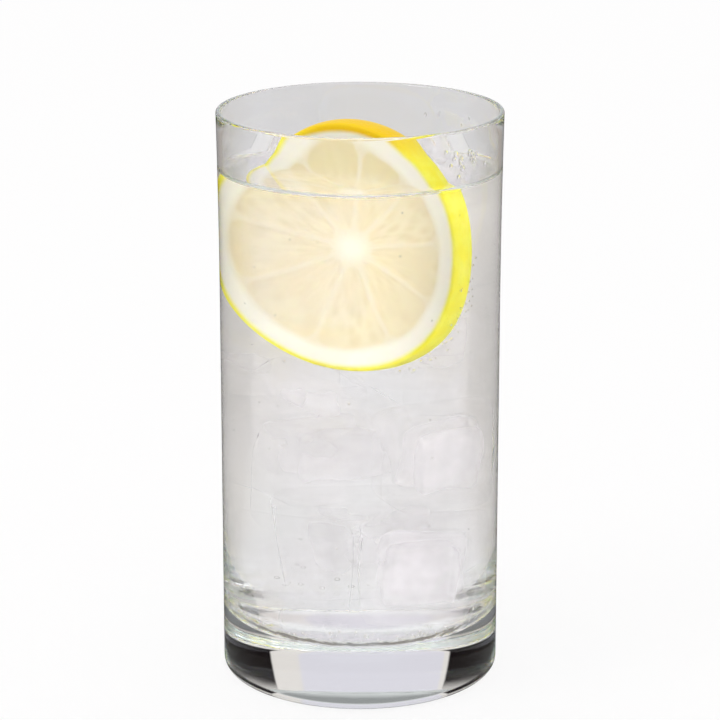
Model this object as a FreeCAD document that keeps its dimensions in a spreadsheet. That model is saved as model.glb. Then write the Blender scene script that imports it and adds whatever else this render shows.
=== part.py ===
# Tall tumbler of clear sparkling drink with a slice of lemon standing in it.
# FreeCAD 1.1 macro, millimetres, +Z up, origin at the middle of the glass's underside.

import FreeCAD, Part
import math
import os
import Sketcher
from FreeCAD import Vector

doc = FreeCAD.newDocument("TumblerOfDrink")

# ---------------------------------------------------------------- sizes

sheet = doc.addObject("Spreadsheet::Sheet", "Sizes")

givenSizes = [
    # the glass
    ("glassHeight", "135", "underside to the top of the lip"),
    ("sideRadius", "32.6", "outside of the straight part of the side"),
    ("rimFlare", "0.45", "how much the lip stands out beyond the side"),
    ("flareLength", "45", "height below the lip over which the side opens out"),
    ("lipWall", "1.25", "wall at the lip"),
    ("lowWall", "1.8", "wall just above the base"),
    ("baseThickness", "13.5", "solid glass under the middle of the floor"),
    ("cornerRadius", "7.5", "round inside between floor and wall"),
    ("floorDip", "0.5", "how far the middle of the floor lies below its edge"),
    ("heelRadius", "2.4", "round outside between underside and side"),
    ("standRing", "4.2", "width of the flat ring that it stands on"),
    ("recessDepth", "0.8", "depth of the hollow inside that ring, at its middle"),
    # the drink
    ("levelDrop", "14", "lip down to the surface of the drink"),
    ("meniscusRise", "1.3", "how far the drink creeps up the wall"),
    ("meniscusReach", "2.2", "width of that creeping edge"),
    # the lemon slice
    ("sliceThickness", "6.8", "between the two cut faces"),
    ("sliceGap", "0.7", "least clearance between the slice and the wall"),
    ("sliceForward", "4.6", "slice in front of the glass's axis, square to its face"),
    ("sliceAside", "1.3", "slice to the right of the axis, along its face"),
    ("sliceBelowLip", "1.75", "lip down to the top of the slice"),
    ("sliceTurn", "32", "degrees that the slice is turned about the upright"),
    ("sliceLean", "-1", "degrees that its top leans forwards"),
    ("peelCrown", "0.5", "how far the peel bulges between the cut faces"),
    ("peelRound", "0.35", "round where the knife left the peel"),
    ("rindWidth", "5.4", "mean width of zest and pith round the segments"),
    ("pulpSink", "0.4", "pulp below the membranes on each face"),
    ("pulpCorner", "2.2", "round of a segment's outer corners"),
    ("coreRadius", "2.2", "pithy core"),
    ("coreAside", "1.5", "core to the right of the slice's middle"),
    ("coreUp", "0.8", "core above the slice's middle"),
    ("membrane", "1.0", "wall between two segments"),
    ("segmentCount", "9", "segments round the core"),
]

workedOutSizes = [
    ("rimRadius", "=sideRadius + rimFlare", "outside at the lip"),
    ("recessRadius", "=sideRadius - heelRadius - standRing", "hollow under the base"),
    ("cavityLow", "=sideRadius - lowWall", "inside radius just above the floor's round"),
    ("cavityRim", "=rimRadius - lipWall", "inside radius at the lip"),
    ("wallTop", "=glassHeight - lipWall / 2", "height where the lip's round begins"),
    ("wallFoot", "=baseThickness + cornerRadius", "height near which the floor's round ends"),
    ("taper", "=(cavityRim - cavityLow) / (wallTop - wallFoot)", "how fast the inside opens upwards"),
    ("floorCurve", "=((cavityLow - cornerRadius) ^ 2 + floorDip ^ 2) / (2 * floorDip)",
     "radius of the dished floor"),
    ("level", "=glassHeight - levelDrop", "height of the drink's surface"),
    ("brimRadius", "=cavityRim - taper * (wallTop - level - meniscusRise)",
     "inside radius at the drink's upper edge"),
    ("meniscusCurve", "=(meniscusReach ^ 2 + meniscusRise ^ 2) / (2 * meniscusRise)",
     "radius of the creeping edge"),
    ("sliceHalf", "=sliceThickness / 2", "from the slice's middle plane to a cut face"),
    ("sliceRoom", "=cavityRim - taper * (sliceBelowLip + cavityRim) - sliceGap",
     "radius about the glass's axis that the slice may fill"),
    ("sliceRadius", "=sqrt(sliceRoom ^ 2 - (sliceForward + sliceHalf) ^ 2) - sliceAside",
     "outside of the peel"),
    ("sliceHeight", "=glassHeight - sliceBelowLip - sliceRadius", "height of the slice's middle"),
    ("sliceX", "=sliceAside * cos(sliceTurn * 1 deg) - sliceForward * sin(sliceTurn * 1 deg)",
     "slice's middle across the glass"),
    ("sliceY", "=-sliceAside * sin(sliceTurn * 1 deg) - sliceForward * cos(sliceTurn * 1 deg)",
     "slice's middle along the glass"),
    ("peelCurve", "=(sliceHalf ^ 2 + peelCrown ^ 2) / (2 * peelCrown)", "radius of the bulging peel"),
    ("fleshRadius", "=sliceRadius - rindWidth", "outside of the segments"),
]


def fillSheet(rows):
    for row, (alias, content, note) in enumerate(rows, start=1):
        sheet.set(f"A{row}", note)
        sheet.set(f"B{row}", content)
        sheet.setAlias(f"B{row}", alias)


fillSheet(givenSizes + workedOutSizes)
doc.recompute()


def val(alias):
    """A size's present value, for a sketch's starting shape and for picking edges."""
    return float(getattr(sheet, alias))


# ---------------------------------------------------------------- sketch helpers

start, end, centre = 1, 2, 3
origin = (-1, 1)
xAxis, yAxis = -1, -2


def sketchOn(body, role, name):
    plane = next(f for f in body.Origin.OriginFeatures if f.Role == role)
    sketch = body.newObject("Sketcher::SketchObject", name)
    sketch.AttachmentSupport = [(plane, "")]
    sketch.MapMode = "FlatFace"
    return sketch


def addLine(sketch, first, last):
    return sketch.addGeometry(Part.LineSegment(Vector(*first, 0), Vector(*last, 0)), False)


def addArc(sketch, middle, radius, startDegrees, endDegrees):
    """An arc that runs counter-clockwise from one angle to the other."""
    circle = Part.Circle(Vector(*middle, 0), Vector(0, 0, 1), radius)
    turn = Part.ArcOfCircle(circle, math.radians(startDegrees), math.radians(endDegrees))
    return sketch.addGeometry(turn, False)


def rule(sketch, kind, *where):
    sketch.addConstraint(Sketcher.Constraint(kind, *where))


def dimension(sketch, kind, where, expression):
    """A dimension that follows an expression in the sheet's names."""
    value = sketch.evalExpression(expression)
    value = math.radians(value.Value) if kind == "Angle" else float(value)
    number = sketch.addConstraint(Sketcher.Constraint(kind, *where, value))
    sketch.setExpression(f"Constraints[{number}]", expression)


def place(sketch, point, across, up):
    """Fix a point by its distances from the sketch's origin; None leaves that one free."""
    if across is not None:
        dimension(sketch, "DistanceX", (*origin, *point), across)
    if up is not None:
        dimension(sketch, "DistanceY", (*origin, *point), up)


def revolve(body, sketch, name):
    feature = body.newObject("PartDesign::Revolution", name)
    feature.Profile = sketch
    feature.ReferenceAxis = (sketch, ["V_Axis"])
    feature.Angle = 360
    return feature


def drawInside(sketch):
    """Wall, floor round and dished floor of the glass's inside, in a half section.

    Returns the wall line, which starts at the lip, and the floor arc, which starts on the axis."""
    low, foot, corner = val("cavityLow"), val("wallFoot"), val("cornerRadius")
    wall = addLine(sketch, (val("cavityRim"), val("wallTop")), (low, foot))
    round_ = addArc(sketch, (low - corner, foot), corner, -89, 0)
    dish = val("floorCurve")
    swing = math.degrees(math.asin((low - corner) / dish))
    floor = addArc(sketch, (0, val("baseThickness") + dish), dish, -90, swing - 90)
    rule(sketch, "Tangent", wall, end, round_, end)
    rule(sketch, "Tangent", round_, start, floor, end)
    rule(sketch, "PointOnObject", floor, centre, yAxis)
    rule(sketch, "PointOnObject", floor, start, yAxis)
    place(sketch, (wall, start), "Sizes.cavityRim", "Sizes.wallTop")
    place(sketch, (wall, end), "Sizes.cavityLow", None)
    place(sketch, (floor, start), None, "Sizes.baseThickness")
    dimension(sketch, "Radius", (round_,), "Sizes.cornerRadius")
    dimension(sketch, "Radius", (floor,), "Sizes.floorCurve")
    return wall, floor


# ---------------------------------------------------------------- the glass

def drawOutside(sketch):
    """Hollow underside, standing ring, heel, side, flare and lip of the glass, in a half section.

    Returns the underside arc, which ends on the axis, and the lip arc, which ends inside."""
    side, heel, height = val("sideRadius"), val("heelRadius"), val("glassHeight")
    hollow, depth = val("recessRadius"), val("recessDepth")
    dome = (hollow ** 2 + depth ** 2) / (2 * depth)
    tilt = math.degrees(math.asin(hollow / dome))
    under = addArc(sketch, (0, depth - dome), dome, 90 - tilt, 90)
    ring = addLine(sketch, (hollow, 0), (side - heel, 0))
    heelArc = addArc(sketch, (side - heel, heel), heel, -90, 0)
    straight = addLine(sketch, (side, heel), (side, height - val("flareLength")))

    opening = val("rimRadius") - side
    rise = val("flareLength") - val("lipWall") / 2
    sweep = (rise ** 2 + opening ** 2) / (2 * opening)
    lean = math.degrees(math.asin(rise / sweep))
    flare = addArc(sketch, (side + sweep, height - val("flareLength")), sweep, 180 - lean, 180)
    half = val("lipWall") / 2
    lip = addArc(sketch, (val("rimRadius") - half, val("wallTop")), half, 0, 180)

    rule(sketch, "PointOnObject", under, centre, yAxis)
    rule(sketch, "Coincident", under, start, ring, start)
    rule(sketch, "PointOnObject", ring, start, xAxis)
    rule(sketch, "Horizontal", ring)
    rule(sketch, "Tangent", ring, end, heelArc, start)
    rule(sketch, "Tangent", heelArc, end, straight, start)
    rule(sketch, "Vertical", straight)
    rule(sketch, "Tangent", straight, end, flare, end)
    rule(sketch, "Coincident", flare, start, lip, start)
    rule(sketch, "Horizontal", lip, centre, lip, start)
    place(sketch, (ring, start), "Sizes.recessRadius", None)
    place(sketch, (under, end), None, "Sizes.recessDepth")
    place(sketch, (straight, start), "Sizes.sideRadius", None)
    place(sketch, (straight, end), None, "Sizes.glassHeight - Sizes.flareLength")
    place(sketch, (flare, start), "Sizes.rimRadius", "Sizes.wallTop")
    dimension(sketch, "Radius", (heelArc,), "Sizes.heelRadius")
    return under, lip


def makeTumbler():
    body = doc.addObject("PartDesign::Body", "Tumbler")
    body.Label = "tumbler"
    section = sketchOn(body, "XZ_Plane", "GlassSection")
    under, lip = drawOutside(section)
    wall, floor = drawInside(section)
    middle = addLine(section, (0, val("baseThickness")), (0, val("recessDepth")))
    rule(section, "Coincident", lip, end, wall, start)
    rule(section, "Coincident", floor, start, middle, start)
    rule(section, "Coincident", middle, end, under, end)
    rule(section, "Vertical", middle)
    revolve(body, section, "GlassTurned")
    return body


# ---------------------------------------------------------------- the lemon slice

def drawSegment(sketch):
    """One segment of pulp, with rounded outer corners, pointing along the sketch's X."""
    turn = math.pi / val("segmentCount")
    flesh, core, corner = val("fleshRadius"), val("coreRadius"), val("pulpCorner")
    inset = val("membrane") / 2
    alongCorner = math.sqrt((flesh - corner) ** 2 - (inset + corner) ** 2)
    alongCore = math.sqrt(core ** 2 - inset ** 2)
    share = flesh / (flesh - corner)

    def spot(along, off, side):
        """A point given along a segment's edge and off it, on the upper or the lower edge."""
        x = along * math.cos(turn) + off * math.sin(turn)
        y = along * math.sin(turn) - off * math.cos(turn)
        return x, side * y

    edges, corners = [], []
    for side in (1, -1):
        edges.append(addLine(sketch, spot(alongCore, inset, side), spot(alongCorner, inset, side)))
        middle = spot(alongCorner, inset + corner, side)
        outward = math.degrees(math.atan2(middle[1], middle[0]))
        square = math.degrees(turn) * side + 90 * side
        first, last = (outward, square) if side > 0 else (square, outward)
        corners.append(addArc(sketch, middle, corner, first, last))
    upperEdge, lowerEdge = edges
    upperCorner, lowerCorner = corners
    tip = [math.degrees(math.atan2(*reversed(spot(alongCorner * share, (inset + corner) * share, side))))
           for side in (-1, 1)]
    outer = addArc(sketch, (0, 0), flesh, tip[0], tip[1])
    root = [math.degrees(math.atan2(*reversed(spot(alongCore, inset, side)))) for side in (-1, 1)]
    inner = addArc(sketch, (0, 0), core, root[0], root[1])

    rule(sketch, "Coincident", outer, centre, *origin)
    rule(sketch, "Coincident", inner, centre, *origin)
    rule(sketch, "Tangent", upperEdge, end, upperCorner, end)
    rule(sketch, "Tangent", lowerEdge, end, lowerCorner, start)
    rule(sketch, "Tangent", upperCorner, start, outer, end)
    rule(sketch, "Tangent", lowerCorner, end, outer, start)
    rule(sketch, "Coincident", upperEdge, start, inner, end)
    rule(sketch, "Coincident", lowerEdge, start, inner, start)
    rule(sketch, "Equal", upperCorner, lowerCorner)
    dimension(sketch, "Radius", (outer,), "Sizes.fleshRadius")
    dimension(sketch, "Radius", (inner,), "Sizes.coreRadius")
    dimension(sketch, "Radius", (upperCorner,), "Sizes.pulpCorner")
    for edge, halfTurn in ((upperEdge, "180 deg"), (lowerEdge, "-180 deg")):
        dimension(sketch, "Distance", (*origin, edge), "Sizes.membrane / 2")
        dimension(sketch, "Angle", (edge,), f"{halfTurn} / Sizes.segmentCount")


def sinkPulp(body, face, name):
    """Sink the segments a little into one cut face: face is 1 for the front, -1 for the back."""
    sketch = sketchOn(body, "XY_Plane", name)
    sketch.setExpression("AttachmentOffset.Base.x", "Sizes.coreAside")
    sketch.setExpression("AttachmentOffset.Base.y", "Sizes.coreUp")
    sketch.setExpression("AttachmentOffset.Base.z", f"{face} * Sizes.sliceHalf")
    drawSegment(sketch)
    pocket = body.newObject("PartDesign::Pocket", name + "Pocket")
    pocket.Profile = sketch
    pocket.Reversed = face < 0
    pocket.setExpression("Length", "Sizes.pulpSink")
    pattern = body.newObject("PartDesign::PolarPattern", name + "Pattern")
    pattern.Originals = [pocket]
    pattern.Axis = (sketch, ["N_Axis"])
    pattern.Angle = 360
    pattern.setExpression("Occurrences", "Sizes.segmentCount")
    body.Tip = pattern


def makeSlice():
    """The slice lies flat in its own frame: X to its right, Y up its face, Z out of its front."""
    body = doc.addObject("PartDesign::Body", "LemonSlice")
    body.Label = "lemon_slice"
    half = val("sliceHalf")
    rim = val("sliceRadius") - val("peelCrown")
    section = sketchOn(body, "XZ_Plane", "SliceSection")
    back = addLine(section, (0, -half), (rim, -half))
    swing = math.degrees(math.asin(half / val("peelCurve")))
    peel = addArc(section, (val("sliceRadius") - val("peelCurve"), 0), val("peelCurve"), -swing, swing)
    front = addLine(section, (rim, half), (0, half))
    middle = addLine(section, (0, half), (0, -half))
    rule(section, "Coincident", back, end, peel, start)
    rule(section, "Coincident", peel, end, front, start)
    rule(section, "Coincident", front, end, middle, start)
    rule(section, "Coincident", middle, end, back, start)
    rule(section, "Horizontal", back)
    rule(section, "Horizontal", front)
    rule(section, "PointOnObject", middle, start, yAxis)
    rule(section, "PointOnObject", middle, end, yAxis)
    rule(section, "PointOnObject", peel, centre, xAxis)
    place(section, (front, start), "Sizes.sliceRadius - Sizes.peelCrown", "Sizes.sliceHalf")
    dimension(section, "Radius", (peel,), "Sizes.peelCurve")
    turned = revolve(body, section, "SliceTurned")
    doc.recompute()

    knifeEdges = [
        f"Edge{number}" for number, edge in enumerate(turned.Shape.Edges, start=1)
        if isinstance(edge.Curve, Part.Circle) and abs(edge.Curve.Radius - rim) < 0.01
    ]
    eased = body.newObject("PartDesign::Fillet", "KnifeEdges")
    eased.Base = (turned, knifeEdges)
    eased.setExpression("Radius", "Sizes.peelRound")
    sinkPulp(body, 1, "FrontPulp")
    sinkPulp(body, -1, "BackPulp")

    body.setExpression(
        "Placement",
        "placement(vector(Sizes.sliceX; Sizes.sliceY; Sizes.sliceHeight); "
        "rotation(-Sizes.sliceTurn; 0; 90 + Sizes.sliceLean))")
    return body


# ---------------------------------------------------------------- the drink

def makeDrink(lemonSlice):
    """Fills the glass face to face up to its level, creeps up the wall, and leaves out the slice."""
    body = doc.addObject("PartDesign::Body", "Filling")
    section = sketchOn(body, "XZ_Plane", "FillingSection")
    wall, floor = drawInside(section)
    middle = addLine(section, (0, val("baseThickness")), (0, val("wallTop")))
    top = addLine(section, (0, val("wallTop")), (val("cavityRim"), val("wallTop")))
    rule(section, "Coincident", floor, start, middle, start)
    rule(section, "Coincident", middle, end, top, start)
    rule(section, "Coincident", top, end, wall, start)
    rule(section, "Vertical", middle)
    rule(section, "Horizontal", top)
    filled = revolve(body, section, "FilledToTheLip")
    doc.recompute()

    air = sketchOn(body, "XZ_Plane", "AirSection")
    level, height, curve = val("level"), val("glassHeight"), val("meniscusCurve")
    flatEnd = val("brimRadius") - val("meniscusReach")
    surface = addLine(air, (0, level), (flatEnd, level))
    creep = addArc(air, (flatEnd, level + curve), curve, -90, 0)
    outside = addLine(air, (flatEnd + curve, level + curve), (flatEnd + curve, height))
    lid = addLine(air, (flatEnd + curve, height), (0, height))
    axis = addLine(air, (0, height), (0, level))
    rule(air, "Tangent", surface, end, creep, start)
    rule(air, "Tangent", creep, end, outside, start)
    rule(air, "Coincident", outside, end, lid, start)
    rule(air, "Coincident", lid, end, axis, start)
    rule(air, "Coincident", axis, end, surface, start)
    rule(air, "Horizontal", surface)
    rule(air, "Horizontal", lid)
    rule(air, "Vertical", outside)
    rule(air, "PointOnObject", axis, start, yAxis)
    rule(air, "PointOnObject", axis, end, yAxis)
    place(air, (surface, end), "Sizes.brimRadius - Sizes.meniscusReach", "Sizes.level")
    place(air, (lid, start), None, "Sizes.glassHeight")
    dimension(air, "Radius", (creep,), "Sizes.meniscusCurve")
    above = body.newObject("PartDesign::Groove", "AirAbove")
    above.Profile = air
    above.ReferenceAxis = (air, ["V_Axis"])
    above.Angle = 360
    doc.recompute()
    if above.Shape.Volume > 0.95 * filled.Shape.Volume:
        raise ValueError("the air above the drink was not taken away")

    drink = doc.addObject("Part::Cut", "Drink")
    drink.Label = "drink"
    drink.Base = body
    drink.Tool = lemonSlice
    return drink


# ---------------------------------------------------------------- build, check and write

tumbler = makeTumbler()
lemonSlice = makeSlice()
drink = makeDrink(lemonSlice)
doc.recompute()

for item in doc.Objects:
    if "Invalid" in item.State or "Error" in item.State:
        raise ValueError(f"{item.Label} did not build: {item.State}")
    if item.TypeId == "Sketcher::SketchObject" and item.solve() != 0:
        raise ValueError(f"sketch {item.Label} is not solved")

os.makedirs("parts", exist_ok=True)
for piece in (tumbler, drink, lemonSlice):
    shape = piece.Shape
    if shape.isNull() or not shape.isValid() or len(shape.Solids) != 1:
        raise ValueError(f"{piece.Label} is not one sound solid")
    shape.exportStep(f"parts/{piece.Label}.step")
    corner = shape.optimalBoundingBox(False)
    print(f"{piece.Label}: {shape.Volume / 1000:.2f} cm3, {corner.XLength:.2f} x {corner.YLength:.2f} x "
          f"{corner.ZLength:.2f} mm")
print(f"slice radius {val('sliceRadius'):.2f}, placed at {lemonSlice.Placement}")
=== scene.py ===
import bpy
import math
import random
from mathutils import Matrix, Vector, noise


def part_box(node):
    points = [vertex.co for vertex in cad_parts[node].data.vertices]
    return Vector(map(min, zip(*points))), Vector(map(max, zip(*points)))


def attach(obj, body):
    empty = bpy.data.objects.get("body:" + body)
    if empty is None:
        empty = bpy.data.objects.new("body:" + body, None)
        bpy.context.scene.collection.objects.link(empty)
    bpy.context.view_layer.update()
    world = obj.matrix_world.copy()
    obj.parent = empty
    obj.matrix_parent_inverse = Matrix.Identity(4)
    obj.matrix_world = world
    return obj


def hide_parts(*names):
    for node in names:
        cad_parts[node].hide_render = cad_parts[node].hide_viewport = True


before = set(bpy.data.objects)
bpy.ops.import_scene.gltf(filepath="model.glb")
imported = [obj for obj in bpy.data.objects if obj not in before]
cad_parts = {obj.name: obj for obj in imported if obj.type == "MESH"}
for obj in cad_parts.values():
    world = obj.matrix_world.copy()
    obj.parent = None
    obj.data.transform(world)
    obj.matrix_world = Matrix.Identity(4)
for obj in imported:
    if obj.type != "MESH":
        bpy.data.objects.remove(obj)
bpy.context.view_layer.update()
mm = 0.001
rng = random.Random(11)

# the camera stands in front, at twice the height of the glass, and looks down at it
view = {"distance": 680, "height": 272.1, "downDegrees": 16.15, "lens": 151.14, "sensor": 36, "nearest": 10}
cameraData = bpy.data.cameras.new("camera")
camera = bpy.data.objects.new("camera", cameraData)
bpy.context.scene.collection.objects.link(camera)
bpy.context.scene.camera = camera
camera.location = (0, -view["distance"] * mm, view["height"] * mm)
camera.rotation_euler = (math.radians(90 - view["downDegrees"]), 0, 0)
cameraData.sensor_width = view["sensor"]
cameraData.lens = view["lens"]
cameraData.clip_start = view["nearest"] * mm
print("camera set")


# helpers for nodes

def newMaterial(name):
    material = bpy.data.materials.new(name)
    material.use_nodes = True
    material.node_tree.nodes.clear()
    output = material.node_tree.nodes.new("ShaderNodeOutputMaterial")
    return material, material.node_tree, output


def add(tree, kind, values=None, **settings):
    node = tree.nodes.new("ShaderNode" + kind)
    for name, value in settings.items():
        setattr(node, name, value)
    for name, value in (values or {}).items():
        node.inputs[name].default_value = value
    return node


def calc(tree, operation, first, second=None):
    node = add(tree, "Math", operation=operation)
    for place, value in enumerate((first, second)):
        if isinstance(value, (int, float)):
            node.inputs[place].default_value = value
        elif value is not None:
            tree.links.new(value, node.inputs[place])
    return node.outputs[0]


def times(tree, first, second):
    return calc(tree, "MULTIPLY", first, second)


def plus(tree, first, second):
    return calc(tree, "ADD", first, second)


def rest(tree, share):
    return calc(tree, "SUBTRACT", 1.0, share)  # what a share leaves of the whole


def ramp(tree, source, low, high, start=0.0, end=1.0):
    node = add(tree, "MapRange", {"From Min": low, "From Max": high, "To Min": start, "To Max": end})
    node.interpolation_type = "SMOOTHSTEP"
    tree.links.new(source, node.inputs["Value"])
    return node.outputs[0]


def band(tree, source, start, full, fade, end):
    # rises from start to full, and falls again from fade to end
    return times(tree, ramp(tree, source, fade, end, 1.0, 0.0), ramp(tree, source, start, full))


def blendColours(tree, share, first, second):
    node = add(tree, "Mix", data_type="RGBA")
    for socket, value in ((node.inputs[0], share), (node.inputs[6], first), (node.inputs[7], second)):
        if isinstance(value, (int, float)):
            socket.default_value = value
        elif isinstance(value, tuple):
            socket.default_value = (*value, 1)
        else:
            tree.links.new(value, socket)
    return node.outputs[2]


def objectPlace(tree):
    return add(tree, "TexCoord").outputs["Object"]


def pointValue(tree, name):
    return add(tree, "Attribute", attribute_name=name).outputs["Fac"]


def parts(tree, where):
    split = add(tree, "SeparateXYZ")
    tree.links.new(where, split.inputs[0])
    return split.outputs


def grain(tree, where, scale, detail=2.0, rough=0.5, stretch=None):
    if stretch:
        turned = add(tree, "Mapping")
        turned.inputs["Scale"].default_value = stretch
        tree.links.new(where, turned.inputs["Vector"])
        where = turned.outputs[0]
    node = add(tree, "TexNoise", {"Scale": scale, "Detail": detail, "Roughness": rough})
    tree.links.new(where, node.inputs["Vector"])
    return node.outputs[0]


def awayFromAxis(tree, where):
    flat = add(tree, "VectorMath", operation="MULTIPLY")
    flat.inputs[1].default_value = (1, 1, 0)
    tree.links.new(where, flat.inputs[0])
    away = add(tree, "VectorMath", operation="LENGTH")
    tree.links.new(flat.outputs[0], away.inputs[0])
    return away.outputs["Value"]


def mixShaders(tree, share, first, second):
    node = add(tree, "MixShader")
    tree.links.new(share, node.inputs[0])
    tree.links.new(first, node.inputs[1])
    tree.links.new(second, node.inputs[2])
    return node.outputs[0]


# helpers for shapes

def clearSelection():
    if bpy.context.object and bpy.context.object.mode != "OBJECT":
        bpy.ops.object.mode_set(mode="OBJECT")
    bpy.ops.object.select_all(action="DESELECT")


def arcPoints(middle, radius, first, last, steps):
    points = []
    for step in range(steps + 1):
        angle = math.radians(first + (last - first) * step / steps)
        points.append((middle[0] + radius * math.cos(angle), middle[1] + radius * math.sin(angle)))
    return points


def linePoints(first, last, steps):
    return [tuple(a + (b - a) * step / steps for a, b in zip(first, last)) for step in range(steps + 1)]


def turnedShape(name, outline, steps):
    # draws the outline by extruding one corner after another, then spins it round the upright axis
    clearSelection()
    clean = [outline[0]]
    for point in outline[1:]:
        if math.dist(point, clean[-1]) > 1e-4:
            clean.append(point)
    bpy.ops.mesh.primitive_plane_add(size=2 * mm, location=(clean[0][0] * mm, 0, clean[0][1] * mm))
    piece = bpy.context.object
    piece.name = name
    bpy.ops.object.transform_apply(location=True, rotation=True, scale=True)
    bpy.ops.object.mode_set(mode="EDIT")
    bpy.ops.mesh.select_all(action="SELECT")
    bpy.ops.mesh.merge(type="CENTER")
    for here, there in zip(clean, clean[1:]):
        step = ((there[0] - here[0]) * mm, 0, (there[1] - here[1]) * mm)
        bpy.ops.mesh.extrude_region_move(TRANSFORM_OT_translate={"value": step})
    bpy.ops.mesh.select_all(action="SELECT")
    bpy.ops.mesh.spin(steps=steps, angle=math.tau, center=(0, 0, 0), axis=(0, 0, 1))
    bpy.ops.mesh.select_all(action="SELECT")
    bpy.ops.mesh.remove_doubles(threshold=0.004 * mm)
    bpy.ops.mesh.normals_make_consistent(inside=False)
    bpy.ops.object.mode_set(mode="OBJECT")
    return piece


def joined(name, pieces):
    clearSelection()
    for piece in pieces:
        piece.select_set(True)
    bpy.context.view_layer.objects.active = pieces[0]
    bpy.ops.object.join()
    whole = bpy.context.object
    whole.name = name
    return whole


def finishPiece(piece, material, smoothDegrees):
    # a piece that already has its materials comes with None
    clearSelection()
    piece.select_set(True)
    bpy.context.view_layer.objects.active = piece
    bpy.ops.object.transform_apply(location=True, rotation=True, scale=True)
    bpy.ops.object.shade_smooth_by_angle(angle=math.radians(smoothDegrees))
    if material:
        piece.data.materials.clear()
        piece.data.materials.append(material)
    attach(piece, "root")
    print(piece.name, len(piece.data.polygons), "faces")


# the glass
glass = {
    "height": 135.0, "side": 32.6, "rimFlare": 0.45, "flareLength": 45.0, "lipWall": 1.25, "lowWall": 1.8,
    "base": 13.5, "corner": 7.5, "floorDip": 0.5, "heel": 2.4, "standRing": 4.2, "recess": 0.8, "steps": 192,
    "colour": (1.0, 1.0, 1.0), "bend": 1.5, "tint": (0.62, 0.88, 0.84), "tintDensity": 2.5,
    "smear": 0.03, "smearScale": 90, "wave": 0.12, "waveScale": 55, "waveStretch": (1, 1, 0.35),
    # the pressed ripple of the inner corner: its heights from the floor, and how far out it lies
    "ripple": 0.4, "rippleScale": 260, "rippleHeights": (-2, 0, 4, 7), "rippleFrom": (20, 25),
    "rippleSkin": (1.0, 0.4), "bumpDepth": 0.4,
}


def insideOutline(grow=0.0):
    # middle of the floor, dished floor, round, and wall up to the lip; grow moves it all into the glass
    low = glass["side"] - glass["lowWall"]
    rim = glass["side"] + glass["rimFlare"] - glass["lipWall"]
    top = glass["height"] - glass["lipWall"] / 2
    taper = (rim - low) / (top - glass["base"] - glass["corner"])
    dish = ((low - glass["corner"]) ** 2 + glass["floorDip"] ** 2) / (2 * glass["floorDip"])
    middle = low - glass["corner"]
    up = glass["base"] + dish - math.sqrt((dish - glass["corner"]) ** 2 - middle ** 2)
    swing = math.degrees(math.asin(middle / (dish - glass["corner"])))
    lean = math.degrees(math.atan(taper))
    floor = arcPoints((0, glass["base"] + dish), dish + grow, -90, swing - 90, 14)
    corner = arcPoints((middle, up), glass["corner"] + grow, swing - 90, -lean, 22)
    wall = linePoints(corner[-1], (rim + grow, top), 28)
    return floor, corner, wall, taper


def glassOutline():
    side, height, heel = glass["side"], glass["height"], glass["heel"]
    ring = side - heel - glass["standRing"]
    dome = (ring ** 2 + glass["recess"] ** 2) / (2 * glass["recess"])
    tilt = math.degrees(math.asin(ring / dome))
    under = arcPoints((0, glass["recess"] - dome), dome, 90, 90 - tilt, 14)
    heelRound = arcPoints((side - heel, heel), heel, -90, 0, 14)
    straight = linePoints((side, heel), (side, height - glass["flareLength"]), 16)
    rise = glass["flareLength"] - glass["lipWall"] / 2
    sweep = (rise ** 2 + glass["rimFlare"] ** 2) / (2 * glass["rimFlare"])
    opening = math.degrees(math.asin(rise / sweep))
    flare = arcPoints((side + sweep, height - glass["flareLength"]), sweep, 180, 180 - opening, 12)
    half = glass["lipWall"] / 2
    lip = arcPoints((side + glass["rimFlare"] - half, height - half), half, 0, 180, 14)
    floor, corner, wall, _ = insideOutline()
    return under + heelRound + straight + flare + lip + wall[::-1] + corner[::-1] + floor[::-1]


tumbler = turnedShape("tumbler_glass", glassOutline(), glass["steps"])
glassFinish, tree, output = newMaterial("clearGlass")
shader = add(tree, "BsdfPrincipled", {"Base Color": (*glass["colour"], 1), "Roughness": 0.0,
                                      "IOR": glass["bend"], "Transmission Weight": 1.0})
place = objectPlace(tree)
smear = ramp(tree, grain(tree, place, glass["smearScale"], 4, 0.6), 0.52, 0.75, 0.0, glass["smear"])
tree.links.new(smear, shader.inputs["Roughness"])
wave = add(tree, "Bump", {"Strength": glass["wave"], "Distance": glass["bumpDepth"] * mm})
waves = grain(tree, place, glass["waveScale"], 2, 0.4, glass["waveStretch"])
tree.links.new(waves, wave.inputs["Height"])
heights = [(glass["base"] + rise) * mm for rise in glass["rippleHeights"]]
inCorner = [out * mm for out in glass["rippleFrom"]]
inSkin = [(glass["side"] - skin) * mm for skin in glass["rippleSkin"]]
pressed = times(tree, band(tree, parts(tree, place)[2], *heights),
                band(tree, awayFromAxis(tree, place), *inCorner, *inSkin))
ripple = add(tree, "Bump", {"Distance": glass["bumpDepth"] * mm})
tree.links.new(times(tree, pressed, glass["ripple"]), ripple.inputs["Strength"])
tree.links.new(grain(tree, place, glass["rippleScale"], 2, 0.5), ripple.inputs["Height"])
tree.links.new(wave.outputs[0], ripple.inputs["Normal"])
tree.links.new(ripple.outputs[0], shader.inputs["Normal"])
tree.links.new(shader.outputs[0], output.inputs["Surface"])
depth = add(tree, "VolumeAbsorption", {"Color": (*glass["tint"], 1), "Density": glass["tintDensity"]})
tree.links.new(depth.outputs[0], output.inputs["Volume"])
finishPiece(tumbler, glassFinish, 30)
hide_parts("tumbler")

# the drink
drink = {
    "level": 121.0, "creepUp": 1.3, "creepWide": 2.2, "intoWall": 0.25, "bend": 1.333,
    "colour": (1.0, 0.999, 0.997), "steps": 160, "wave": 0.1, "waveScale": 70, "waveDepth": 0.5,
}


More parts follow.
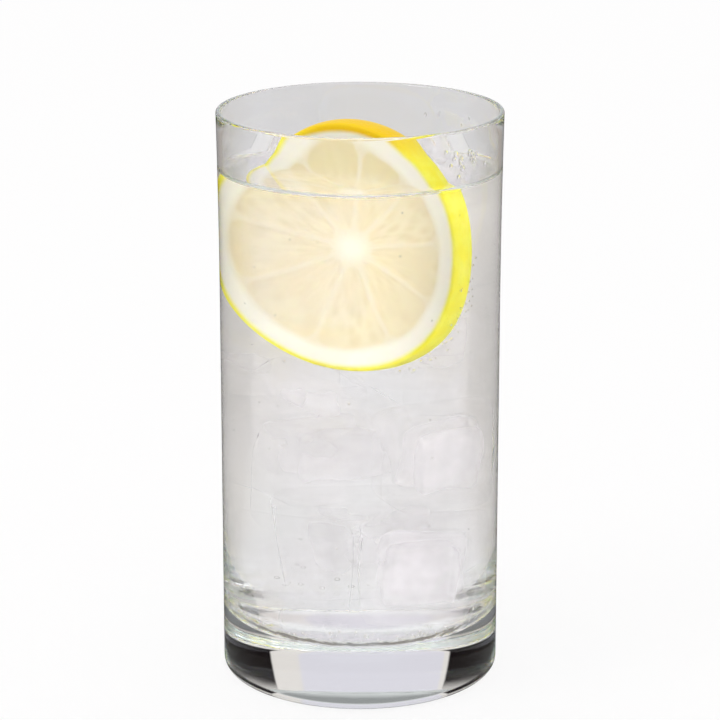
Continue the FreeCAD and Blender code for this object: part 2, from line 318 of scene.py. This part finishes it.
def drinkOutline():
    grow = drink["intoWall"]
    floor, corner, wall, taper = insideOutline(grow)
    brim = drink["level"] + drink["creepUp"]
    wallAt = wall[0][0] + taper * (brim - wall[0][1])
    side = linePoints(wall[0], (wallAt, brim), 30)
    curve = (drink["creepWide"] ** 2 + drink["creepUp"] ** 2) / (2 * drink["creepUp"])
    edge = wallAt - grow - drink["creepWide"]
    swing = math.degrees(math.asin(drink["creepWide"] / curve))
    creep = arcPoints((edge, drink["level"] + curve), curve, swing - 90, -90, 10)
    surface = linePoints((edge, drink["level"]), (0, drink["level"]), 20)
    return floor + corner + side + creep + surface


soda = turnedShape("drink_liquid", drinkOutline(), drink["steps"])
drinkFinish, tree, output = newMaterial("clearDrink")
shader = add(tree, "BsdfPrincipled", {"Base Color": (*drink["colour"], 1), "Roughness": 0.0,
                                      "IOR": drink["bend"], "Transmission Weight": 1.0})
wave = add(tree, "Bump", {"Strength": drink["wave"], "Distance": drink["waveDepth"] * mm})
tree.links.new(grain(tree, objectPlace(tree), drink["waveScale"], 2, 0.4), wave.inputs["Height"])
tree.links.new(wave.outputs[0], shader.inputs["Normal"])
tree.links.new(shader.outputs[0], output.inputs["Surface"])
finishPiece(soda, drinkFinish, 30)
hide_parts("drink")

# the lemon slice
lemon = {
    "radius": 28.45, "thickness": 6.8, "crown": 0.5, "edgeRound": 0.35, "turnDegrees": -32, "tiltDegrees": 89,
    "core": (1.9, 1.1), "coreRadius": 3.1, "rind": 5.3, "sink": 0.3, "membrane": 0.15, "steps": 240,
    "segments": [8, 49, 86, 128, 169, 207, 251, 292, 329],  # degrees of the membranes round the core
    "wobble": 2.2, "wobbleScale": 0.12, "uneven": 0.5, "cornerRound": 0.9, "cornerReach": 2.2,
    "slope": 0.9, "rindFade": 1.6,
    # juice sacs that point at the core: how many, how long, how high, and the relief of the pith
    "sacs": 7, "sacLength": 0.23, "sacRelief": 0.28, "sacLevel": 0.55,
    "pithScale": 0.35, "pithRelief": 0.08, "pithSink": 0.1, "fibres": 9, "fibreLength": 0.28,
    "roughness": 0.42, "bend": 1.4, "shine": 0.3,
    "soft": 0.55, "softDepth": 2.5, "softColour": (1.0, 0.8, 0.35),
    "flesh": ((0.82, 0.73, 0.47), (0.89, 0.81, 0.57), (0.86, 0.77, 0.52)),
    "dryFlesh": (0.82, 0.73, 0.40), "dryShare": 0.6, "dryFrom": (-1.5, 2.5),  # from the drink's level
    "membraneColours": ((0.87, 0.79, 0.57), (0.90, 0.83, 0.63)), "coreColour": (1.0, 0.94, 0.80),
    "pith": ((1.0, 0.94, 0.77), (1.0, 0.97, 0.84)),
    "zest": ((0.98, 0.88, 0.05), (1.0, 0.95, 0.13)), "zestEdge": (0.93, 0.98),  # shares of the radius
    "ripeZest": (0.93, 0.62, 0.004), "ripeFrom": (125.5, 131.5), "ripeWider": 0.03,
    "poreScale": 900.0, "pore": 0.5, "poreDepth": 0.15,
}


def clamp(value):
    return max(0.0, min(1.0, value))


def sliceOutline():
    half, radius, crown = lemon["thickness"] / 2, lemon["radius"], lemon["crown"]
    faceEdge = radius - crown - lemon["edgeRound"]
    face = linePoints((0, half), (faceEdge, half), 46)
    curve = ((half - lemon["edgeRound"]) ** 2 + crown ** 2) / (2 * crown)
    swing = math.degrees(math.asin((half - lemon["edgeRound"]) / curve))
    peel = arcPoints((radius - curve, 0), curve, swing, -swing, 12)
    return face + peel + [(r, -z) for r, z in face[::-1]]


def sliceZones(x, y):
    # how much of a point is pulp and how much is rind, each from 0 to 1, and its distance from the core
    dx, dy = x - lemon["core"][0], y - lemon["core"][1]
    fromCore = max(math.hypot(dx, dy), 0.01)
    angle = math.degrees(math.atan2(dy, dx)) % 360
    scale = lemon["wobbleScale"]
    wobble = lemon["wobble"] * noise.noise(Vector((x * scale, y * scale, 3)))
    apart = min(abs((angle - edge + wobble + 180) % 360 - 180) for edge in lemon["segments"])
    toMembrane = fromCore * math.sin(math.radians(min(apart, 90))) - lemon["membrane"]
    around = Vector((math.cos(math.radians(angle)) * 2, math.sin(math.radians(angle)) * 2, 7))
    toRind = lemon["radius"] - lemon["rind"] - lemon["uneven"] * noise.noise(around) - math.hypot(x, y)
    toCore = fromCore - lemon["coreRadius"] - lemon["uneven"] * noise.noise(Vector((dx, dy, 0)))
    sides = sorted((toMembrane, toRind, toCore))
    inCorner = max(0.0, 1 - (sides[1] - sides[0]) / lemon["cornerReach"])
    near = sides[0] - lemon["cornerRound"] * inCorner ** 2
    return clamp(near / lemon["slope"]), clamp(0.5 - toRind / lemon["rindFade"]), fromCore


lemonCut = turnedShape("lemon_cut", sliceOutline(), lemon["steps"])
mesh = lemonCut.data
zones = {"pulp": [], "rind": [], "fromCore": [], "fromMiddle": []}
along = []
for vertex in mesh.vertices:
    x, y, z = (c / mm for c in vertex.co)
    onFace = abs(z) > lemon["thickness"] / 2 - 0.2
    pulp, rind, fromCore = sliceZones(x, y)
    pulp = pulp if onFace else 0.0
    side = 1 if z > 0 else -1
    angle = math.atan2(y - lemon["core"][1], x - lemon["core"][0])
    zones["pulp"].append(pulp)
    zones["rind"].append(rind)
    zones["fromCore"].append(fromCore / 10)
    zones["fromMiddle"].append(math.hypot(x, y) / lemon["radius"])
    fibres = lemon["fibres"]
    along.extend((math.cos(angle) * fibres, math.sin(angle) * fibres, fromCore * lemon["fibreLength"]))
    if pulp > 0:
        sacPlace = (math.cos(angle) * lemon["sacs"], math.sin(angle) * lemon["sacs"],
                    fromCore * lemon["sacLength"] + side)
        nearest = noise.voronoi(Vector(sacPlace))[0][0]
        relief = lemon["sacRelief"] * (lemon["sacLevel"] - nearest) - lemon["sink"]
        vertex.co.z += side * pulp * relief * mm
    elif onFace:
        pithPlace = Vector((x * lemon["pithScale"], y * lemon["pithScale"], side))
        vertex.co.z += side * (lemon["pithRelief"] * noise.noise(pithPlace) - lemon["pithSink"]) * mm
for name, values in zones.items():
    mesh.attributes.new(name, "FLOAT", "POINT")
    mesh.attributes[name].data.foreach_set("value", values)
mesh.attributes.new("along", "FLOAT_VECTOR", "POINT")
mesh.attributes["along"].data.foreach_set("vector", along)
low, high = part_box("lemon_slice")
stand = (Matrix.Translation((low + high) / 2) @ Matrix.Rotation(math.radians(lemon["turnDegrees"]), 4, "Z")
         @ Matrix.Rotation(math.radians(lemon["tiltDegrees"]), 4, "X"))
mesh.transform(stand)

lemonFinish, tree, output = newMaterial("lemonFlesh")
shader = add(tree, "BsdfPrincipled", {
    "Roughness": lemon["roughness"], "IOR": lemon["bend"], "Specular IOR Level": lemon["shine"],
    "Subsurface Weight": lemon["soft"], "Subsurface Scale": lemon["softDepth"] * mm,
    "Subsurface Radius": lemon["softColour"]})
place = objectPlace(tree)
upright = parts(tree, place)[2]
cells = add(tree, "TexVoronoi", {"Scale": 0.9, "Randomness": 1.0})
tree.links.new(add(tree, "Attribute", attribute_name="along").outputs["Vector"], cells.inputs["Vector"])
mottle = grain(tree, place, 180, 4, 0.6)
patchy = grain(tree, place, 95, 2, 0.5)
flesh = blendColours(tree, ramp(tree, cells.outputs["Distance"], 0.1, 0.7), *lemon["flesh"][:2])
flesh = blendColours(tree, ramp(tree, patchy, 0.35, 0.65), flesh, lemon["flesh"][2])
membrane = blendColours(tree, mottle, *lemon["membraneColours"])
pith = blendColours(tree, mottle, *lemon["pith"])
dry = ramp(tree, upright, *[(drink["level"] + above) * mm for above in lemon["dryFrom"]])
flesh = blendColours(tree, times(tree, dry, lemon["dryShare"]), flesh, lemon["dryFlesh"])
ripe = ramp(tree, upright, *[height * mm for height in lemon["ripeFrom"]])
zest = blendColours(tree, ramp(tree, grain(tree, place, 260, 3), 0.35, 0.7), *lemon["zest"])
zest = blendColours(tree, ripe, zest, lemon["ripeZest"])
outward = plus(tree, pointValue(tree, "fromMiddle"), times(tree, mottle, 0.012))
outward = plus(tree, outward, times(tree, ripe, lemon["ripeWider"]))
zestShare = ramp(tree, outward, *lemon["zestEdge"])
colour = blendColours(tree, ramp(tree, pointValue(tree, "pulp"), 0.1, 0.8), membrane, flesh)
nearCore = ramp(tree, pointValue(tree, "fromCore"), 0.1, 0.5, 0.85, 0.0)
colour = blendColours(tree, nearCore, colour, lemon["coreColour"])
colour = blendColours(tree, pointValue(tree, "rind"), colour, pith)
colour = blendColours(tree, zestShare, colour, zest)
tree.links.new(colour, shader.inputs["Base Color"])
pores = add(tree, "TexVoronoi", {"Scale": lemon["poreScale"], "Randomness": 0.9})
tree.links.new(place, pores.inputs["Vector"])
poreHeight = times(tree, ramp(tree, pores.outputs["Distance"], 0.0, 0.45), zestShare)
height = plus(tree, poreHeight, times(tree, grain(tree, place, 700, 3), 0.5))
bump = add(tree, "Bump", {"Strength": lemon["pore"], "Distance": lemon["poreDepth"] * mm})
tree.links.new(height, bump.inputs["Height"])
tree.links.new(bump.outputs[0], shader.inputs["Normal"])
tree.links.new(shader.outputs[0], output.inputs["Surface"])
finishPiece(lemonCut, lemonFinish, 50)
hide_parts("lemon_slice")

# the ice
ice = {
    "bend": 0.998, "frost": 0.07, "colour": (0.88, 0.86, 0.885), "dents": 0.8, "dentSizes": (9, 4),
    "milkScale": 60, "milk": (0.03, 0.16),
    # the cloudy heart of a block; a block that is less cloudy than heartFrom has none
    "heart": 0.78, "heartFrom": 0.3, "heartRound": 1.2, "heartDents": 1.5,
    "heartScale": 70, "heartMilk": (0.3, 0.6), "heartSoft": 2.4,
    # each block's middle, its three sizes, its turn in degrees about x, y and z,
    # the round of its edges and how cloudy it is; no two of them overlap
    "blocks": [
        ((-13.3, -7.1, 27.3), (23.4, 23.2, 23), (2, 3, -1), 4.0, 0.4),
        ((12.1, -8.9, 28.6), (24, 24.2, 24), (2, 2, 91), 4.0, 1.5),
        ((1.3, 16.4, 28.8), (26, 24, 24), (1, -4, -7), 4.0, 0.8),
        ((-9.5, -12.1, 50.7), (24.2, 21, 21), (7, 4, -17), 4.0, 0.35),
        ((15.5, -4.9, 54.8), (22, 23, 23.4), (2, -1, 23), 4.0, 1.4),
        ((-5.0, 14.9, 53.0), (25, 23, 23), (2, -11, 15), 4.0, 0.9),
        ((-11.0, -12.1, 70.6), (21, 17, 14), (7, 12, -26), 3.5, 0.7),
        ((8.4, 15.5, 79.5), (22, 20, 22), (4, 4, 16), 4.0, 0.8),
        ((-14.7, 13.7, 73.7), (18, 19, 17.6), (7, -12, 42), 3.5, 0.6),
        ((14.8, 13.6, 103.9), (20, 18, 22), (3, 7, -32), 3.5, 0.5),
        ((16.9, -12.6, 73.7), (15, 15, 12.6), (1, -1, -20), 3.0, 0.5),
    ],
    # the nearly melted block before the lemon shows only as a haze
    "haze": ((-11.5, -12.5, 103.0), (27, 14, 32), (2, -3, -34), 5.0, 0.3),
}


def softBlock(middle, size, turn, edgeRound, dent, cloudy, material):
    # a block with melted corners and shallow dents
    clearSelection()
    bpy.ops.mesh.primitive_cube_add(size=mm, location=(0, 0, 0), scale=size)
    block = bpy.context.object
    bpy.ops.object.transform_apply(location=True, rotation=True, scale=True)
    bpy.ops.object.mode_set(mode="EDIT")
    bpy.ops.mesh.select_all(action="SELECT")
    bpy.ops.mesh.bevel(offset=edgeRound * mm, segments=3, affect="EDGES")
    bpy.ops.mesh.subdivide(number_cuts=2, smoothness=0.2)
    bpy.ops.object.mode_set(mode="OBJECT")
    seed = Vector(middle)
    wide, fine = ice["dentSizes"]
    for vertex in block.data.vertices:
        dents = noise.noise(vertex.co / (wide * mm) + seed)
        dents += 0.4 * noise.noise(vertex.co / (fine * mm) + seed)
        vertex.co += vertex.co.normalized() * dents * dent * mm
    smoother = block.modifiers.new("melt", "SUBSURF")
    smoother.levels = smoother.render_levels = 1
    bpy.ops.object.modifier_apply(modifier="melt")
    block.location = [c * mm for c in middle]
    block.rotation_euler = [math.radians(a) for a in turn]
    bpy.ops.object.transform_apply(location=True, rotation=True, scale=True)
    block.data.attributes.new("cloudy", "FLOAT", "POINT")
    block.data.attributes["cloudy"].data.foreach_set("value", [cloudy] * len(block.data.vertices))
    block.data.materials.append(material)
    return block


iceFinish, tree, output = newMaterial("cloudyIce")
clear = add(tree, "BsdfGlass", {"IOR": ice["bend"], "Roughness": ice["frost"], "Color": (1, 1, 1, 1)})
clouds = ramp(tree, grain(tree, objectPlace(tree), ice["milkScale"], 3, 0.5), 0.35, 0.7, *ice["milk"])
share = times(tree, pointValue(tree, "cloudy"), clouds)
milk = add(tree, "BsdfDiffuse", {"Color": (*ice["colour"], 1)})
whole = mixShaders(tree, share, clear.outputs[0], milk.outputs[0])
tree.links.new(whole, output.inputs["Surface"])

heartFinish, tree, output = newMaterial("iceHeart")
clear = add(tree, "BsdfTransparent", {"Color": (1, 1, 1, 1)})
facing = add(tree, "LayerWeight", {"Blend": 0.5}).outputs["Facing"]
soft = calc(tree, "POWER", rest(tree, facing), ice["heartSoft"])
clouds = ramp(tree, grain(tree, objectPlace(tree), ice["heartScale"], 3, 0.5), 0.3, 0.7, *ice["heartMilk"])
share = times(tree, times(tree, soft, clouds), pointValue(tree, "cloudy"))
milk = add(tree, "BsdfDiffuse", {"Color": (*ice["colour"], 1)})
whole = mixShaders(tree, share, clear.outputs[0], milk.outputs[0])
tree.links.new(whole, output.inputs["Surface"])

blocks = []
for middle, size, turn, edgeRound, cloudy in ice["blocks"]:
    blocks.append(softBlock(middle, size, turn, edgeRound, ice["dents"], cloudy, iceFinish))
    if cloudy > ice["heartFrom"]:
        inner = [edge * ice["heart"] for edge in size]
        innerRound = edgeRound * ice["heartRound"]
        innerDents = ice["dents"] * ice["heartDents"]
        blocks.append(softBlock(middle, inner, turn, innerRound, innerDents, cloudy, heartFinish))
middle, size, turn, edgeRound, cloudy = ice["haze"]
blocks.append(softBlock(middle, size, turn, edgeRound, ice["dents"], cloudy, heartFinish))
finishPiece(joined("ice_cubes", blocks), None, 60)

# bubbles in the drink, beside the peel and round the floor
fizz = {
    "count": 80, "smallest": 0.14, "largest": 0.34, "smallShare": 0.6, "smaller": 0.6, "lowest": 18,
    "offWall": 1.2, "nearWall": 0.75, "onPeel": 60, "peelSizes": (0.14, 0.3), "peelOff": (0.9, 2.4),
    "peelDegrees": (-70, 5), "peelAcross": (-3.4, 1.5), "peelOffWall": 0.6,
    "onFloor": 110, "floorSizes": (0.2, 0.5), "floorOff": (0.5, 0.9), "floorDegrees": (-88, -15),
    "belowLevel": 1, "dullness": 0.05,
}


def addBead(radius, at, squash=None, detail=2):
    place = [c * mm for c in at]
    bpy.ops.mesh.primitive_ico_sphere_add(subdivisions=detail, radius=radius * mm, location=place)
    bead = bpy.context.object
    if squash:
        bead.scale, bead.rotation_euler = squash
    return bead


def insideRadius(z):
    _, corner, wall, taper = insideOutline()
    if z > corner[-1][1]:
        return wall[0][0] + taper * (z - wall[0][1])
    if z > corner[0][1]:
        return max(point[0] for point in corner if point[1] <= z + 0.5)
    return corner[0][0]


clearSelection()
highest = drink["level"] - fizz["belowLevel"]
beads = []
for _ in range(fizz["count"]):
    z = rng.uniform(fizz["lowest"], highest)
    angle, away = rng.uniform(0, math.tau), math.sqrt(rng.random())
    reach = (insideRadius(z) - fizz["offWall"]) * (fizz["nearWall"] + (1 - fizz["nearWall"]) * away)
    radius = rng.uniform(fizz["smallest"], fizz["largest"])
    radius *= fizz["smaller"] if rng.random() < fizz["smallShare"] else 1
    beads.append(addBead(radius, (reach * math.cos(angle), reach * math.sin(angle), z)))
for _ in range(fizz["onPeel"]):
    angle = math.radians(rng.uniform(*fizz["peelDegrees"]))
    out = lemon["radius"] + rng.uniform(*fizz["peelOff"])
    across = rng.uniform(*fizz["peelAcross"])
    local = stand.to_3x3() @ Vector((out * math.cos(angle), out * math.sin(angle), across))
    spot = [a / mm + b for a, b in zip(stand.translation, local)]
    free = math.hypot(spot[0], spot[1]) < insideRadius(spot[2]) - fizz["peelOffWall"]
    if spot[2] < highest and free:
        beads.append(addBead(rng.uniform(*fizz["peelSizes"]), spot))
for _ in range(fizz["onFloor"]):
    angle, swing = rng.uniform(0, math.tau), math.radians(rng.uniform(*fizz["floorDegrees"]))
    middle = glass["side"] - glass["lowWall"] - glass["corner"]
    away = glass["corner"] - rng.uniform(*fizz["floorOff"])
    reach = middle + away * math.cos(swing)
    z = glass["base"] + glass["floorDip"] + glass["corner"] + away * math.sin(swing)
    radius = rng.uniform(*fizz["floorSizes"])
    beads.append(addBead(radius, (reach * math.cos(angle), reach * math.sin(angle), z)))
bubbles = joined("bubbles", beads)
bubbleFinish, tree, output = newMaterial("gasBubble")
shader = add(tree, "BsdfGlass", {"IOR": 1 / drink["bend"], "Color": (1, 1, 1, 1)})
dull = ramp(tree, grain(tree, objectPlace(tree), 150), 0.4, 0.7, 0.0, fizz["dullness"])
tree.links.new(dull, shader.inputs["Roughness"])
tree.links.new(shader.outputs[0], output.inputs["Surface"])
finishPiece(bubbles, bubbleFinish, 180)

# droplets inside the glass, between the drink and the lip; most of them sit together at the right
wet = {
    "count": 22, "smallest": 0.25, "largest": 0.7, "apartEvery": 4, "gatherDegrees": (-42, 7),
    "apartDegrees": (-10, 220), "gatherHeights": (128, 1.6), "apartEdge": 4, "edge": 3,
    "intoWall": 0.15, "flat": 0.45, "tall": (1.0, 1.45), "dullness": 0.04,
}
clearSelection()
drops = []
for index in range(wet["count"]):
    gathered = index % wet["apartEvery"] > 0
    angle = math.radians(rng.gauss(*wet["gatherDegrees"]) if gathered else rng.uniform(*wet["apartDegrees"]))
    apartHeights = (drink["level"] + wet["apartEdge"], glass["height"] - wet["apartEdge"])
    z = rng.gauss(*wet["gatherHeights"]) if gathered else rng.uniform(*apartHeights)
    z = min(max(z, drink["level"] + wet["edge"]), glass["height"] - wet["edge"])
    radius = rng.uniform(wet["smallest"], wet["largest"] if gathered else wet["largest"] / 2)
    reach = insideRadius(z) + wet["intoWall"]
    squash = ((wet["flat"], 1.0, rng.uniform(*wet["tall"])), (0, 0, angle))
    drops.append(addBead(radius, (reach * math.cos(angle), reach * math.sin(angle), z), squash, 3))
droplets = joined("wall_droplets", drops)
dropFinish, tree, output = newMaterial("waterDrop")
shader = add(tree, "BsdfGlass", {"IOR": drink["bend"], "Color": (1, 1, 1, 1)})
dull = ramp(tree, grain(tree, objectPlace(tree), 120), 0.4, 0.7, 0.0, wet["dullness"])
tree.links.new(dull, shader.inputs["Roughness"])
tree.links.new(shader.outputs[0], output.inputs["Surface"])
finishPiece(droplets, dropFinish, 180)

# floor and light, in metres
studio = {
    "floorSize": 6.0, "floorDown": 0.1 * mm, "floorColour": (0.9, 0.9, 0.9), "floorSheen": 0.12,
    "floorInGlass": 0.66, "floorInDrink": 0.84, "lightInDrink": 2.6, "floorLightLess": 0.6,
    "depthRange": (3.0, 6.0),  # how many faces a ray has passed before it counts as being in the drink
    # the next lines also set painted shade on the floor that only rays through the glass see: a darker warm
    # grey towards the diagonals, and darkening under and round the foot
    "drinkLight": (1.0, 0.97, 0.975), "lightFromRight": 1.2, "sideShadeColour": (0.80, 0.73, 0.65),
    "paintedFootShade": 0.7, "footEdge": (0.05, 0.06), "ringEnd": (0.12, 0.2), "ringDiagonal": (0.2, 0.4),
    "sideShadeDiagonal": (0.1, 0.5), "sideShadeInDrink": 0.6, "plainShare": 0.15, "sheenShare": 0.15,
    # four windows round the glass, with dark gaps between them
    "windowHalf": 29, "windowSoft": 0.012, "sideNarrower": 3.5, "gap": (0.006, 0.003, 0.004),
    "window": (0.78, 0.74, 0.81), "windowEdge": (0.84, 0.78, 0.75),
    "edgeLeft": (-0.64, -0.58), "edgeRight": (0.90, 0.93),  # shares of half a window
    "gapTop": (0.44, 0.52), "gapFoot": (0.14, 0.24), "footGlow": 0.75, "ceiling": (0.70, 0.80),
    "lampPower": 3, "lampSize": (0.5, 0.7), "lampAt": (-0.9, -0.5, 1.0), "lampTowards": (0, 0, 0.08),
    "bounces": 160, "diffuseBounces": 6, "clearBounces": 40,
}


def rayKinds(tree):
    # whether a ray lights a surface, which isn't a look through it, and how far it is in the drink
    path = add(tree, "LightPath")
    lighting = calc(tree, "GREATER_THAN", path.outputs["Diffuse Depth"], 0.5)
    return path.outputs, lighting, ramp(tree, path.outputs["Transmission Depth"], *studio["depthRange"])


clearSelection()
bpy.ops.mesh.primitive_plane_add(size=studio["floorSize"], location=(0, 0, -studio["floorDown"]))
floor = bpy.context.object
floor.name = "floor"
floorFinish, tree, output = newMaterial("paleFloor")
path, onPiece, through = rayKinds(tree)
place = objectPlace(tree)
direct = path["Is Camera Ray"]
plain = add(tree, "BsdfDiffuse", {"Color": (*studio["floorColour"], 1)})
seen = add(tree, "Emission", {"Color": (1, 1, 1, 1)})
sheen = add(tree, "BsdfGlossy", {"Color": (1, 1, 1, 1), "Roughness": studio["floorSheen"]})
inDrink = times(tree, through, studio["floorInDrink"] - studio["floorInGlass"])
strength = plus(tree, inDrink, studio["floorInGlass"])
strength = plus(tree, strength, times(tree, direct, 1.0 - studio["floorInGlass"]))
onDrinkPiece = times(tree, times(tree, onPiece, through), studio["lightInDrink"] - studio["floorLightLess"])
strength = plus(tree, strength, onDrinkPiece)
# painted dark reflection: the floor gives no light to rays mirrored straight off the outside of the glass, so
# it shows black there
blackInOuterMirror = times(tree, calc(tree, "LESS_THAN", path["Transmission Depth"], 0.5), path["Is Glossy Ray"])
strength = times(tree, strength, rest(tree, blackInOuterMirror))
lookThrough = times(tree, path["Is Transmission Ray"], rest(tree, onPiece))
sideways, forwards, _ = parts(tree, place)
across = calc(tree, "ABSOLUTE", sideways)
along = calc(tree, "ABSOLUTE", forwards)
diagonal = calc(tree, "DIVIDE", calc(tree, "MINIMUM", across, along), calc(tree, "MAXIMUM", across, along))
outFromFoot = awayFromAxis(tree, place)
# painted shade: through the glass the floor is darkened under the foot and in a ring round it away from the
# four axes, so the glass base shows dark patches; camera rays see the floor unshaded
paintedShadeUnderFoot = ramp(tree, outFromFoot, *studio["footEdge"], studio["paintedFootShade"], 0.0)
ring = band(tree, outFromFoot, *studio["footEdge"], *studio["ringEnd"])
ring = times(tree, ring, ramp(tree, diagonal, *studio["ringDiagonal"]))
paintedShade = times(tree, calc(tree, "MAXIMUM", paintedShadeUnderFoot, ring), lookThrough)
paintedShade = times(tree, paintedShade, rest(tree, through))  # none of the painted shade in the drink
strength = times(tree, strength, rest(tree, paintedShade))
tree.links.new(strength, seen.inputs["Strength"])
# painted shade: through the glass the floor turns a darker warm grey towards its diagonals, which greys the
# sides of the glass, less so in the drink
paintedSideShade = times(tree, ramp(tree, diagonal, *studio["sideShadeDiagonal"]), lookThrough)
paintedSideShade = times(tree, paintedSideShade, rest(tree, times(tree, through, studio["sideShadeInDrink"])))
tree.links.new(blendColours(tree, paintedSideShade, (1.0, 1.0, 1.0), studio["sideShadeColour"]), seen.inputs["Color"])
whole = mixShaders(tree, times(tree, direct, studio["plainShare"]), seen.outputs[0], plain.outputs[0])
shiny = times(tree, lookThrough, ramp(tree, outFromFoot, *studio["ringEnd"]))
whole = mixShaders(tree, times(tree, shiny, studio["sheenShare"]), whole, sheen.outputs[0])
tree.links.new(whole, output.inputs["Surface"])
floor.data.materials.append(floorFinish)

world = bpy.data.worlds.new("studio")
bpy.context.scene.world = world
world.use_nodes = True
tree = world.node_tree
tree.nodes.clear()
output = add(tree, "OutputWorld")
path, onPiece, through = rayKinds(tree)
sideways, forwards, upwards = parts(tree, add(tree, "TexCoord").outputs["Generated"])
quarter = math.pi / 2
half = math.radians(studio["windowHalf"])
turned = plus(tree, calc(tree, "ARCTAN2", forwards, sideways), quarter / 2)
fromAxis = calc(tree, "SUBTRACT", calc(tree, "FLOORED_MODULO", turned, quarter), quarter / 2)
atSides = calc(tree, "GREATER_THAN", calc(tree, "ABSOLUTE", sideways), calc(tree, "ABSOLUTE", forwards))
narrower = plus(tree, times(tree, atSides, studio["sideNarrower"] - 1), 1.0)
reach = times(tree, calc(tree, "ABSOLUTE", fromAxis), narrower)
window = ramp(tree, reach, half - studio["windowSoft"], half + studio["windowSoft"], 1.0, 0.0)
window = calc(tree, "MAXIMUM", window, ramp(tree, upwards, *studio["gapTop"]))
window = calc(tree, "MAXIMUM", window, ramp(tree, upwards, *studio["gapFoot"], studio["footGlow"], 0.0))
atLeft = ramp(tree, fromAxis, *[half * share for share in studio["edgeLeft"]], 1.0, 0.0)
atRight = ramp(tree, fromAxis, *[half * share for share in studio["edgeRight"]])
shown = blendColours(tree, calc(tree, "MAXIMUM", atLeft, atRight), studio["window"], studio["windowEdge"])
shown = blendColours(tree, window, studio["gap"], shown)
shown = blendColours(tree, ramp(tree, upwards, *studio["ceiling"]), shown, (1.0, 1.0, 1.0))
fromRight = ramp(tree, sideways, 0.0, 1.0, 0.0, studio["lightFromRight"])
inDrink = plus(tree, fromRight, studio["lightInDrink"] - 1)
litLevel = plus(tree, times(tree, through, inDrink), 1.0)
litColour = add(tree, "CombineColor")
for socket, share in zip(litColour.inputs[:3], studio["drinkLight"]):
    tree.links.new(times(tree, litLevel, share), socket)
shown = blendColours(tree, onPiece, shown, litColour.outputs[0])
shown = blendColours(tree, path["Is Camera Ray"], shown, (1.0, 1.0, 1.0))
background = add(tree, "Background")
tree.links.new(shown, background.inputs["Color"])
tree.links.new(background.outputs[0], output.inputs["Surface"])

lampData = bpy.data.lights.new("keyLamp", "AREA")
lampData.energy = studio["lampPower"]
lampData.shape = "RECTANGLE"
lampData.size, lampData.size_y = studio["lampSize"]
lamp = bpy.data.objects.new("keyLamp", lampData)
bpy.context.scene.collection.objects.link(lamp)
lamp.location = studio["lampAt"]
aim = Vector(studio["lampTowards"]) - Vector(studio["lampAt"])
lamp.rotation_euler = aim.to_track_quat("-Z", "Y").to_euler()
lamp.visible_camera = False

# light passes many glass faces before it leaves the drink
cycles = bpy.context.scene.cycles
cycles.max_bounces = studio["bounces"]
cycles.transmission_bounces = studio["bounces"]
cycles.glossy_bounces = studio["bounces"]
cycles.diffuse_bounces = studio["diffuseBounces"]
cycles.transparent_max_bounces = studio["clearBounces"]
bpy.context.scene.view_settings.view_transform = "Standard"
print("floor and light set")
